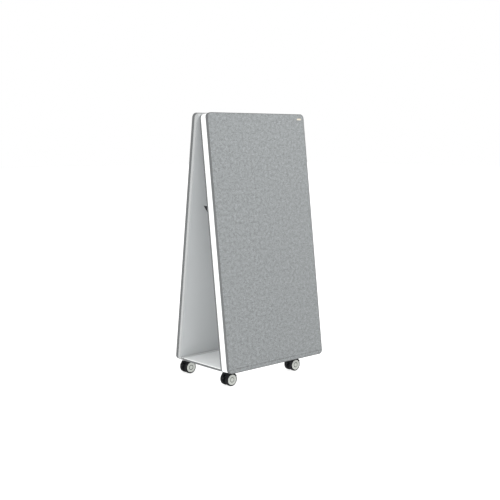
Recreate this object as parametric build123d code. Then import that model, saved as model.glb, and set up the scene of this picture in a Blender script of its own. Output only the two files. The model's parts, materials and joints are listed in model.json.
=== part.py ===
from build123d import *
import math
import os

# Mobile A-shaped partition: two tall boards lean against each other on a low shelf with casters.
# Millimetres. X runs along the width, the front leaf faces -Y, +Z is up.
# The origin is on the floor, in the middle of the footprint.
# Each leaf is laid out flat first: x across, y up the slope, and depth inwards from its outer face.

# Overall
LEAF_WIDTH = 900.0
LEAF_LENGTH = 1745.0      # up the slope
FOOT_DEPTH = 584.0        # between the two outer faces, at their lower edges
TOP_GAP = 22.0            # between the leaves' inner faces at the top; it sets the lean
LEAF_DROP = 5.0           # how far the boards' lower edges hang below the base's underside
CORNER_RADIUS = 32.0

# Lift-off boards
BOARD_DEPTH = 22.0
BOARD_CLEARANCE = 0.5     # between a hung board and its frame
TRIM_WIDTH = 3.0
FABRIC_RECESS = 0.5       # fabric face behind the trim's front edge
FABRIC_THICK = 2.0
FABRIC_CLEARANCE = 0.2
BACK_SHEET_THICK = 0.6
TAG_WIDTH = 40.0
TAG_HEIGHT = 12.0
TAG_THICK = 0.5
TAG_SIDE_INSET = 49.0     # tag's middle from the board's right edge
TAG_TOP_INSET = 37.0      # tag's middle from the board's top edge

# Leaf frames
FRAME_INSET = 1.5
FRAME_WIDTH = 24.0
FRAME_WALL = 2.0
FRONT_FRAME_DEPTH = 50.0
REAR_FRAME_DEPTH = 20.0
FRONT_PANEL_THICK = 14.0
REAR_PANEL_THICK = 5.0
PANEL_EDGE = 2.0          # edge band round each inner panel

# Hook rails and hooks
HOOK_STEEL = 2.0
HOOK_GAP = 1.0
RAIL_SETBACK = 4.0        # rail lip behind the frame's outer face
RAIL_HEIGHT = 25.0
RAIL_FROM_END = 300.0     # rail lip from the leaf's lower and upper ends
HOOK_WIDTH = 40.0
HOOK_SPACING = 560.0
HOOK_TONGUE = 14.0
HOOK_PLATE = 30.0

# Base
SHELF_THICK = 18.0
SHELF_END_INSET = 1.5     # shelf ends in from the boards' side edges
SHELF_BAND = 1.0
SHELF_EDGE_RADIUS = 4.0
SHELF_REAR_GAP = 45.0     # shelf's rear edge from the rear leaf
BEAM_HEIGHT = 16.0
BEAM_WALL = 2.0
BEAM_END_INSET = 3.0
TIE_LENGTH = 80.0
TIE_HEIGHT = 40.0
TIE_SPACING = 420.0
TIE_FROM_TOP = 60.0
BRACKET_REACH = 45.0
BRACKET_DROP = 55.0
BRACKET_THICK = 5.0
BRACKET_TOP = 1205.0      # above the floor
BRACKET_END_INSET = 10.0
BRACKET_FOOT_WIDTH = 24.0
BRACKET_FOOT_THICK = 2.5

# Casters
WHEEL_RADIUS = 44.0
WHEEL_TRAIL = 34.0
CASTER_WIDTH = 80.0
TYRE_THICK = 5.0
TYRE_ROUND = 2.0
CAP_RADIUS = 37.0
CAP_THICK = 4.0
WEB_THICK = 24.0          # housing between the two wheels
WEB_CLEARANCE = 2.0
HOOD_GAP = 1.0
HOOD_WALL = 2.0
HOOD_FRONT_ANGLE = 25.0   # both from the level, at the stem's side
HOOD_REAR_ANGLE = 130.0
SWIVEL_GAP = 6.0          # hood's top to the mounting plate
PLATE_THICK = 3.0
PLATE_LENGTH = 60.0
PLATE_WIDTH = 50.0
SCREW_RADIUS = 4.5
SCREW_HEAD = 2.5
SCREW_MARGIN = 8.0
STEM_RADIUS = 5.5
STEM_LENGTH = 32.0
BOSS_RADIUS = 12.0
BOSS_FLOOR = 6.0
BOSS_CLEARANCE = 0.5
AXLE_RADIUS = 4.0
RUNNING_FIT = 0.05
HUB_RADIUS = 14.0
BRAKE_PIVOT_BACK = 26.0   # brake pivot behind the axle
BRAKE_PIVOT_RISE = 15.0   # brake pivot above the axle
BRAKE_PIN_RADIUS = 2.5
BRAKE_BARREL_RADIUS = 5.0
BRAKE_PROUD = 12.0        # pad's end behind the treads
PAD_CLEARANCE = 2.0       # pad to the wheels beside it
PAD_LENGTH = 20.0
BRAKE_THICK = 4.0
EAR_THICK = 3.3
EAR_CLEARANCE = 0.3
EAR_MARGIN = 2.0
FRONT_STEM_INSET = 16.5   # front swivel axes outwards from the front leaf's inner face
REAR_STEM_INSET = 22.5    # rear swivel axes inwards from the rear leaf's inner face
CASTER_LEFT_INSET = 89.0
CASTER_RIGHT_INSET = 209.0

# Worked out from the sizes above
frame_outer = BOARD_DEPTH + BOARD_CLEARANCE
front_frame_inner = frame_outer + FRONT_FRAME_DEPTH
rear_frame_inner = frame_outer + REAR_FRAME_DEPTH
front_leaf_depth = front_frame_inner + FRONT_PANEL_THICK
rear_leaf_depth = rear_frame_inner + REAR_PANEL_THICK
base_z = 2 * WHEEL_RADIUS + HOOD_GAP + HOOD_WALL + SWIVEL_GAP + PLATE_THICK
leaf_bottom = base_z - LEAF_DROP
shelf_top = base_z + SHELF_THICK
front_setback = front_leaf_depth - FRONT_STEM_INSET
rear_setback = rear_leaf_depth + REAR_STEM_INSET
brake_pivot_x = -WHEEL_TRAIL - BRAKE_PIVOT_BACK
brake_pivot_z = WHEEL_RADIUS + BRAKE_PIVOT_RISE
wheel_gap = WEB_THICK + 2 * WEB_CLEARANCE
both_depths = front_leaf_depth + rear_leaf_depth
lean = (math.asin((FOOT_DEPTH - TOP_GAP) / math.hypot(2 * LEAF_LENGTH, both_depths))
        - math.atan2(both_depths, 2 * LEAF_LENGTH))

FRONT = -1
REAR = 1


def leaf_plane(side):
    """Work plane of a leaf's outer face: origin at the middle of its lower edge, z outwards."""
    return Plane(
        origin=(0, side * FOOT_DEPTH / 2, leaf_bottom),
        x_dir=(-side, 0, 0),
        z_dir=(0, side * math.cos(lean), math.sin(lean)),
    )


def face_y(side, height, depth):
    """Y of the plane that lies this deep in a leaf, at a height above the floor."""
    rise = height - leaf_bottom
    return side * (FOOT_DEPTH / 2 - rise * math.tan(lean) - depth / math.cos(lean))


def height_at(up, depth):
    """Height above the floor of a point on a leaf, from its distance up the slope and depth."""
    return leaf_bottom + up * math.cos(lean) - depth * math.sin(lean)


def place(side, solid):
    """Stand a flat-laid solid up on its leaf."""
    return leaf_plane(side).location * solid


def slab(inset, outer_depth, inner_depth):
    """Flat plate with the leaf's rounded outline, inset all round, between two depths."""
    outline = RectangleRounded(
        LEAF_WIDTH - 2 * inset, LEAF_LENGTH - 2 * inset, CORNER_RADIUS - inset
    )
    return extrude(Pos(0, LEAF_LENGTH / 2, -inner_depth) * outline, inner_depth - outer_depth)


def ring(inset, width, outer_depth, inner_depth):
    """Frame-shaped plate that follows the leaf's outline."""
    return slab(inset, outer_depth, inner_depth) - slab(inset + width, outer_depth, inner_depth)


def block(low, high):
    """Box between two corners."""
    size = [top - bottom for bottom, top in zip(low, high)]
    middle = [(top + bottom) / 2 for bottom, top in zip(low, high)]
    return Pos(*middle) * Box(*size)


def tube(low, high, axis):
    """Rectangular tube between two corners, open at both ends along one axis."""
    inner_low = [value if i == axis else value + FRAME_WALL for i, value in enumerate(low)]
    inner_high = [value if i == axis else value - FRAME_WALL for i, value in enumerate(high)]
    return block(low, high) - block(inner_low, inner_high)


def along_x(profile, start, end, wall=None):
    """Prism from (y, z) points between two x positions, solid or a tube with this wall."""
    plane = Plane(origin=(start, 0, 0), x_dir=(0, 1, 0), z_dir=(1, 0, 0))
    section = make_face(Polyline(profile, close=True))
    if wall:
        section -= offset(section, amount=-wall)
    return extrude(plane * section, end - start)


def above_base(solid):
    """Cut away what is below the level underside of the base."""
    reach = LEAF_LENGTH
    return solid - Pos(0, 0, base_z - reach / 2) * Box(2 * LEAF_WIDTH, 2 * FOOT_DEPTH, reach)


def write(name, *pieces):
    """Write one node's solids to its own file."""
    solids = [solid for piece in pieces for solid in piece.solids()]
    export_step(Compound(children=solids), f"parts/{name}.step")


def build_board(name, side):
    """Lift-off board: trim ring, core, fabric cover, steel back sheet and its hooks."""
    core_outer = FABRIC_RECESS + FABRIC_THICK
    back_outer = BOARD_DEPTH - BACK_SHEET_THICK
    cover_inset = TRIM_WIDTH + FABRIC_CLEARANCE
    write(f"{name}_edge_trim", place(side, ring(0, TRIM_WIDTH, 0, BOARD_DEPTH)))
    write(f"{name}_fabric_cover", place(side, slab(cover_inset, FABRIC_RECESS, core_outer)))
    write(f"{name}_core", place(side, slab(TRIM_WIDTH, core_outer, back_outer)))
    write(f"{name}_back_sheet", place(side, slab(TRIM_WIDTH, back_outer, BOARD_DEPTH)))
    hooks = []
    for level in rail_levels():
        for x in (-HOOK_SPACING / 2, HOOK_SPACING / 2):
            hooks.append(place(side, Pos(x, level, 0) * build_hook()))
    write(f"{name}_hooks", *hooks)


def rail_levels():
    """Distances up the slope of the two rail lips."""
    return (RAIL_FROM_END, LEAF_LENGTH - RAIL_FROM_END)


def build_hook():
    """Bent steel hook with its bridge resting at y = 0."""
    tongue_inner = frame_outer + RAIL_SETBACK + 2 * HOOK_STEEL + HOOK_GAP
    half = HOOK_WIDTH / 2
    plate_inner = BOARD_DEPTH + HOOK_STEEL
    plate = block((-half, -HOOK_PLATE, -plate_inner), (half, HOOK_STEEL, -BOARD_DEPTH))
    bridge = block((-half, 0, -tongue_inner), (half, HOOK_STEEL, -BOARD_DEPTH))
    tongue = block((-half, -HOOK_TONGUE, -tongue_inner), (half, HOOK_STEEL, HOOK_STEEL - tongue_inner))
    return plate + bridge + tongue


def build_hook_rails(name, side, inner_depth):
    """Two angle-section rails between the stiles, with an upstanding lip for the hooks."""
    reach = LEAF_WIDTH / 2 - FRAME_INSET - FRAME_WIDTH
    lip_outer = frame_outer + RAIL_SETBACK
    rails = []
    for level in rail_levels():
        low = level - RAIL_HEIGHT
        lip = block((-reach, low, -lip_outer - HOOK_STEEL), (reach, level, -lip_outer))
        flange = block((-reach, low, -inner_depth), (reach, low + HOOK_STEEL, -lip_outer))
        rails.append(place(side, lip + flange))
    write(name, *rails)


def build_frame(name, side, inner_depth):
    """Leaf frame: two stiles, a top and a bottom rail and four corner blocks."""
    outer_x = LEAF_WIDTH / 2 - FRAME_INSET
    corner_x = LEAF_WIDTH / 2 - CORNER_RADIUS
    top = LEAF_LENGTH - FRAME_INSET
    stile_low = (outer_x - FRAME_WIDTH, CORNER_RADIUS, -inner_depth)
    stile_high = (outer_x, LEAF_LENGTH - CORNER_RADIUS, -frame_outer)
    stile = tube(stile_low, stile_high, axis=1)
    mirrored_stile = mirror(stile, about=Plane.YZ)
    write(f"{name}_left_stile", place(side, mirrored_stile if side == FRONT else stile))
    write(f"{name}_right_stile", place(side, stile if side == FRONT else mirrored_stile))
    rail_low = (-corner_x, top - FRAME_WIDTH, -inner_depth)
    write(f"{name}_top_rail", place(side, tube(rail_low, (corner_x, top, -frame_outer), axis=0)))
    write(f"{name}_bottom_rail", build_bottom_rail(side, inner_depth, corner_x))
    frame_ring = ring(FRAME_INSET, FRAME_WIDTH, frame_outer, inner_depth)
    frame_slab = slab(FRAME_INSET, frame_outer, inner_depth)
    blocks = []
    for end in (-1, 1):
        x_low, x_high = sorted((end * corner_x, end * LEAF_WIDTH / 2))
        upper = block((x_low, LEAF_LENGTH - CORNER_RADIUS, -inner_depth), (x_high, LEAF_LENGTH, 0))
        lower = block((x_low, 0, -inner_depth), (x_high, CORNER_RADIUS, 0))
        blocks.append(place(side, frame_ring & upper))
        blocks.append(above_base(place(side, frame_slab & lower)))
    write(f"{name}_corner_blocks", *blocks)


def build_bottom_rail(side, inner_depth, reach):
    """Hollow rail with a level underside, as tall as the corner blocks."""
    inner_top = height_at(CORNER_RADIUS, inner_depth)
    outer_top = height_at(CORNER_RADIUS, frame_outer)
    section = [
        (face_y(side, base_z, frame_outer), base_z),
        (face_y(side, base_z, inner_depth), base_z),
        (face_y(side, inner_top, inner_depth), inner_top),
        (face_y(side, outer_top, frame_outer), outer_top),
    ]
    return along_x(section, -reach, reach, wall=FRAME_WALL)


def build_inner_panel(name, side, outer_depth, inner_depth):
    """Inner panel of a leaf with its edge band, cut level with the base."""
    panel = slab(FRAME_INSET + PANEL_EDGE, outer_depth, inner_depth)
    band = ring(FRAME_INSET, PANEL_EDGE, outer_depth, inner_depth)
    write(f"{name}_panel", above_base(place(side, panel)))
    write(f"{name}_edge_band", above_base(place(side, band)))


def build_base():
    """Shelf with its end bands, and the beam between the shelf and the rear leaf."""
    rear_y = face_y(REAR, shelf_top, rear_leaf_depth) - SHELF_REAR_GAP
    end_x = LEAF_WIDTH / 2 - SHELF_END_INSET - SHELF_BAND
    section = [
        (face_y(FRONT, base_z, front_leaf_depth), base_z),
        (rear_y, base_z),
        (rear_y, shelf_top),
        (face_y(FRONT, shelf_top, front_leaf_depth), shelf_top),
    ]
    shelf = along_x(section, -end_x, end_x)
    end_edges = shelf.edges().filter_by(Axis.Y).group_by(Axis.Z)[-1]
    write("base_shelf", fillet(end_edges, SHELF_EDGE_RADIUS))
    band_top = shelf_top - SHELF_EDGE_RADIUS
    band_section = [
        (face_y(FRONT, base_z, front_leaf_depth), base_z),
        (rear_y, base_z),
        (rear_y, band_top),
        (face_y(FRONT, band_top, front_leaf_depth), band_top),
    ]
    bands = [along_x(band_section, end_x, end_x + SHELF_BAND)]
    bands.append(along_x(band_section, -end_x - SHELF_BAND, -end_x))
    write("shelf_edge_bands", *bands)
    beam_x = LEAF_WIDTH / 2 - BEAM_END_INSET
    beam_top = base_z + BEAM_HEIGHT
    beam_section = [
        (rear_y, base_z),
        (face_y(REAR, base_z, rear_leaf_depth), base_z),
        (face_y(REAR, beam_top, rear_leaf_depth), beam_top),
        (rear_y, beam_top),
    ]
    write("rear_beam", along_x(beam_section, -beam_x, beam_x, wall=BEAM_WALL))


def build_top_ties():
    """Blocks that join the two leaves near the top, where the gap is narrow."""
    high = height_at(LEAF_LENGTH - TIE_FROM_TOP, rear_leaf_depth)
    low = high - TIE_HEIGHT
    section = [
        (face_y(FRONT, low, front_leaf_depth), low),
        (face_y(REAR, low, rear_leaf_depth), low),
        (face_y(REAR, high, rear_leaf_depth), high),
        (face_y(FRONT, high, front_leaf_depth), high),
    ]
    ties = []
    for x in (-TIE_SPACING / 2, TIE_SPACING / 2):
        ties.append(along_x(section, x - TIE_LENGTH / 2, x + TIE_LENGTH / 2))
    write("top_ties", *ties)


def build_side_brackets():
    """Triangular gussets with a foot against the front leaf's inner panel, one at each end."""
    low = BRACKET_TOP - BRACKET_DROP
    top_y = face_y(FRONT, BRACKET_TOP, front_leaf_depth)
    low_y = face_y(FRONT, low, front_leaf_depth)
    gusset = [(top_y, BRACKET_TOP), (top_y + BRACKET_REACH, BRACKET_TOP), (low_y, low)]
    foot = [
        (top_y, BRACKET_TOP),
        (top_y + BRACKET_FOOT_THICK, BRACKET_TOP),
        (low_y + BRACKET_FOOT_THICK, low),
        (low_y, low),
    ]
    outer_x = LEAF_WIDTH / 2 - BRACKET_END_INSET
    bracket = along_x(gusset, outer_x - BRACKET_THICK, outer_x)
    bracket += along_x(foot, outer_x - BRACKET_FOOT_WIDTH, outer_x)
    write("side_brackets", bracket, mirror(bracket, about=Plane.YZ))


def build_tag():
    """Small plain tab on the front fabric, near the top right corner."""
    x = LEAF_WIDTH / 2 - TAG_SIDE_INSET
    up = LEAF_LENGTH - TAG_TOP_INSET
    tab = Pos(x, up, -FABRIC_RECESS) * extrude(RectangleRounded(TAG_WIDTH, TAG_HEIGHT, 2), TAG_THICK)
    write("front_board_tag", place(FRONT, tab))


def caster_places():
    """Name, x and y of each swivel axis."""
    left = CASTER_LEFT_INSET - LEAF_WIDTH / 2
    right = LEAF_WIDTH / 2 - CASTER_RIGHT_INSET
    front_y = front_setback - FOOT_DEPTH / 2
    rear_y = FOOT_DEPTH / 2 - rear_setback
    return (
        ("front_left", left, front_y),
        ("front_right", right, front_y),
        ("rear_left", left, rear_y),
        ("rear_right", right, rear_y),
    )


def along_y(radius, start, end):
    """Cylinder about the wheel's axis, between two y positions."""
    middle = Pos(-WHEEL_TRAIL, (start + end) / 2, WHEEL_RADIUS)
    return middle * Rot(90, 0, 0) * Cylinder(radius, end - start)


def hood_sector(radius, width):
    """Part of a disc above the wheels, between the hood's two end angles."""
    start = math.radians(HOOD_FRONT_ANGLE)
    end = math.radians(HOOD_REAR_ANGLE)
    arc = ThreePointArc(
        (radius * math.cos(start), radius * math.sin(start)),
        (radius * math.cos((start + end) / 2), radius * math.sin((start + end) / 2)),
        (radius * math.cos(end), radius * math.sin(end)),
    )
    outline = make_face([Line((0, 0), arc @ 0), arc, Line(arc @ 1, (0, 0))])
    plane = Plane(origin=(-WHEEL_TRAIL, width / 2, WHEEL_RADIUS), x_dir=(1, 0, 0), z_dir=(0, -1, 0))
    return extrude(plane * outline, width)


def build_housing():
    """Swivelling housing: hood, web between the wheels, stem boss and the brake's two ears."""
    hood_inner = WHEEL_RADIUS + HOOD_GAP
    hood_outer = hood_inner + HOOD_WALL
    hood_width = CASTER_WIDTH - 2 * CAP_THICK
    hood = hood_sector(hood_outer, hood_width) - along_y(hood_inner, -hood_width, hood_width)
    web = hood_sector(hood_outer, WEB_THICK) + along_y(HUB_RADIUS, -WEB_THICK / 2, WEB_THICK / 2)
    stem_top = base_z - PLATE_THICK
    boss_top = stem_top - BOSS_CLEARANCE
    boss_low = stem_top - STEM_LENGTH - BOSS_FLOOR
    boss = Pos(0, 0, (boss_top + boss_low) / 2) * Cylinder(BOSS_RADIUS, boss_top - boss_low)
    ear_half = BRAKE_BARREL_RADIUS + EAR_MARGIN
    ear_low = (brake_pivot_x - ear_half, -WEB_THICK / 2, brake_pivot_z - ear_half)
    ear_high = (-WHEEL_TRAIL, WEB_THICK / 2, brake_pivot_z + ear_half)
    slot_half = WEB_THICK / 2 - EAR_THICK
    slot_high = (brake_pivot_x + ear_half, slot_half, base_z)
    ears = block(ear_low, ear_high) - block((2 * ear_low[0], -slot_half, 0), slot_high)
    housing = hood + web + boss + ears
    housing -= along_y(AXLE_RADIUS + RUNNING_FIT, -WEB_THICK, WEB_THICK)
    housing -= brake_cylinder(BRAKE_PIN_RADIUS + RUNNING_FIT, WEB_THICK)
    bore_length = STEM_LENGTH + BOSS_CLEARANCE
    bore = Cylinder(STEM_RADIUS + RUNNING_FIT, bore_length)
    return housing - Pos(0, 0, stem_top - bore_length / 2) * bore


def brake_cylinder(radius, length):
    """Cylinder about the brake lever's pivot."""
    return Pos(brake_pivot_x, 0, brake_pivot_z) * Rot(90, 0, 0) * Cylinder(radius, length)


def build_brake():
    """Foot lever with its barrel and trunnion pin."""
    half = WEB_THICK / 2 - EAR_THICK - EAR_CLEARANCE
    end_x = -WHEEL_TRAIL - WHEEL_RADIUS - BRAKE_PROUD
    top = brake_pivot_z + BRAKE_THICK / 2
    low = brake_pivot_z - BRAKE_THICK / 2
    arm = block((end_x + PAD_LENGTH / 2, -half, low), (brake_pivot_x, half, top))
    pad_half = wheel_gap / 2 - PAD_CLEARANCE
    pad = block((end_x, -pad_half, low), (end_x + PAD_LENGTH, pad_half, top))
    pad = fillet(pad.edges().filter_by(Axis.Z), BRAKE_THICK)
    pin = brake_cylinder(BRAKE_PIN_RADIUS, WEB_THICK)
    return brake_cylinder(BRAKE_BARREL_RADIUS, 2 * half) + arm + pad + pin


def build_wheels():
    """Axle, two wheels, two tyres and two side caps, about one axis."""
    inner = wheel_gap / 2
    outer = CASTER_WIDTH / 2 - CAP_THICK
    rim_radius = WHEEL_RADIUS - TYRE_THICK
    wheels = []
    tyres = []
    caps = []
    for side in (-1, 1):
        low, high = sorted((side * inner, side * outer))
        wheels.append(along_y(rim_radius, low, high) - along_y(AXLE_RADIUS, low, high))
        tread = fillet(along_y(WHEEL_RADIUS, low, high).edges(), TYRE_ROUND)
        tyres.append(tread - along_y(rim_radius, low, high))
        cap_low, cap_high = sorted((side * outer, side * (outer + CAP_THICK)))
        cap = along_y(CAP_RADIUS, cap_low, cap_high)
        face_edge = cap.edges().sort_by(Axis.Y)[-1 if side > 0 else 0]
        caps.append(chamfer(face_edge, CAP_THICK / 2))
    axle = along_y(AXLE_RADIUS, -outer, outer)
    return {"axle": [axle], "wheels": wheels, "tyres": tyres, "caps": caps}


def build_casters():
    """Four casters with their mounting plates, stems and screws."""
    plates = []
    stems = []
    screws = []
    plate_low = base_z - PLATE_THICK
    housing = build_housing()
    brake = build_brake()
    wheel_parts = build_wheels()
    for name, x, y in caster_places():
        spot = Pos(x, y, 0)
        plate = Box(PLATE_LENGTH, PLATE_WIDTH, PLATE_THICK)
        plates.append(spot * Pos(0, 0, plate_low + PLATE_THICK / 2) * plate)
        stems.append(spot * Pos(0, 0, plate_low - STEM_LENGTH / 2) * Cylinder(STEM_RADIUS, STEM_LENGTH))
        for along in (-1, 1):
            for across in (-1, 1):
                screw_x = along * (PLATE_LENGTH / 2 - SCREW_MARGIN)
                screw_y = across * (PLATE_WIDTH / 2 - SCREW_MARGIN)
                head = Cylinder(SCREW_RADIUS, SCREW_HEAD)
                screws.append(spot * Pos(screw_x, screw_y, plate_low - SCREW_HEAD / 2) * head)
        write(f"caster_{name}_housing", spot * housing)
        write(f"caster_{name}_brake", spot * brake)
        for part, pieces in wheel_parts.items():
            write(f"caster_{name}_{part}", *[spot * piece for piece in pieces])
    write("caster_plates", *plates)
    write("caster_stems", *stems)
    write("caster_screws", *screws)


os.makedirs("parts", exist_ok=True)
build_board("front_board", FRONT)
build_board("rear_board", REAR)
build_tag()
build_frame("front_frame", FRONT, front_frame_inner)
build_frame("rear_frame", REAR, rear_frame_inner)
build_hook_rails("front_hook_rails", FRONT, front_frame_inner)
build_hook_rails("rear_hook_rails", REAR, rear_frame_inner)
build_inner_panel("front_inner", FRONT, front_frame_inner, front_leaf_depth)
build_inner_panel("rear_inner", REAR, rear_frame_inner, rear_leaf_depth)
build_base()
build_top_ties()
build_side_brackets()
build_casters()
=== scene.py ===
"""Visual model of a mobile partition: two fabric boards that lean together on a trolley."""
from __future__ import annotations

import json
import logging
import math
from collections.abc import Iterable, Sequence
from dataclasses import dataclass, field
from enum import Enum
from typing import Any

import bmesh
import bpy
from bmesh.types import BMesh
from mathutils import Matrix, Vector

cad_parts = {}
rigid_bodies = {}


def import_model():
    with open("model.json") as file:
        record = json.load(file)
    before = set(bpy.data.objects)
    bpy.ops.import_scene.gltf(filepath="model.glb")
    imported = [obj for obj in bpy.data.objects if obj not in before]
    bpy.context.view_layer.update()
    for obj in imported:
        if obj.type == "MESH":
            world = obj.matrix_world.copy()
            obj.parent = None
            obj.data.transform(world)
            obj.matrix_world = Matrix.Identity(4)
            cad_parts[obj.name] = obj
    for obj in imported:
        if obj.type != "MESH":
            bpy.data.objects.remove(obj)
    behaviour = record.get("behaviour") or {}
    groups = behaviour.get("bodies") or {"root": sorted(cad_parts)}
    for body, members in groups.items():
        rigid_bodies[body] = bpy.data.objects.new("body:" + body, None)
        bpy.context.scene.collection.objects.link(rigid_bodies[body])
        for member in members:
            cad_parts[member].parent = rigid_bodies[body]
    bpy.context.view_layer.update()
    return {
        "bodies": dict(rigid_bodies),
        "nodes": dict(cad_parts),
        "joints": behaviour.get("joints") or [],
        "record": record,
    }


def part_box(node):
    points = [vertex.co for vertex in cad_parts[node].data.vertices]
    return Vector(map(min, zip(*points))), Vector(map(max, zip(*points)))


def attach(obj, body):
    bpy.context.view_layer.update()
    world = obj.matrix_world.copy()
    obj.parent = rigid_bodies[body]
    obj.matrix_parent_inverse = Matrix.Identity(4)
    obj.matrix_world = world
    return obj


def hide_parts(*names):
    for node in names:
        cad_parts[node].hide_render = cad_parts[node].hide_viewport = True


LOG = logging.getLogger("partition")
MILLIMETRE = 0.001
LEVEL = 0.01 * MILLIMETRE  # points closer than this count as level, or as one
CLOTH_MAP = "cloth"
Colour = tuple[float, float, float]
Point = tuple[float, float, float]
Outline = list[tuple[float, float]]


class Side(Enum):
    """The two leaves, by the direction that each one faces."""

    FRONT = "front"
    REAR = "rear"

    @property
    def outward(self) -> int:
        """Sign of Y on this side of the partition."""
        return -1 if self is Side.FRONT else 1


class Slot(Enum):
    """Material slots of the record."""

    FABRIC = "fabric"
    EDGE_TRIM = "edge_trim"
    CORE = "core"
    BACK_SHEET = "back_sheet"
    HOOKS = "hooks"
    TAG = "tag"
    WHITE_FRAME = "white_frame"
    LIGHT_FRAME = "light_frame"
    GREY_BAND = "grey_band"
    WHITE_PANEL = "white_panel"
    SHELF = "shelf"
    STEEL = "steel"
    BEAM = "beam"
    BLACK_METAL = "black_metal"
    CASTER_BLACK = "caster_black"
    CASTER_GREY = "caster_grey"
    TYRE = "tyre"


# ---- Shader graphs ----


class Signal:
    """One output of a shader graph that takes part in arithmetic."""

    def __init__(self, graph: ShaderGraph, socket: bpy.types.NodeSocket) -> None:
        """Wrap a socket.

        Args:
            graph: The graph that new Math nodes are added to.
            socket: The output that carries the value.
        """
        self.graph = graph
        self.socket = socket

    def __add__(self, other: Signal | float) -> Signal:
        """Add."""
        return self.graph.math("ADD", self, other)

    def __radd__(self, other: float) -> Signal:
        """Add, with the number on the left."""
        return self.graph.math("ADD", other, self)

    def __sub__(self, other: Signal | float) -> Signal:
        """Subtract."""
        return self.graph.math("SUBTRACT", self, other)

    def __rsub__(self, other: float) -> Signal:
        """Subtract from a number."""
        return self.graph.math("SUBTRACT", other, self)

    def __mul__(self, other: Signal | float) -> Signal:
        """Multiply."""
        return self.graph.math("MULTIPLY", self, other)

    def __rmul__(self, other: float) -> Signal:
        """Multiply, with the number on the left."""
        return self.graph.math("MULTIPLY", other, self)

    def __truediv__(self, other: Signal | float) -> Signal:
        """Divide."""
        return self.graph.math("DIVIDE", self, other)

    def __abs__(self) -> Signal:
        """Size without sign."""
        return self.graph.math("ABSOLUTE", self)

    def sine(self) -> Signal:
        """Sine of the value in radians."""
        return self.graph.math("SINE", self)


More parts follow.
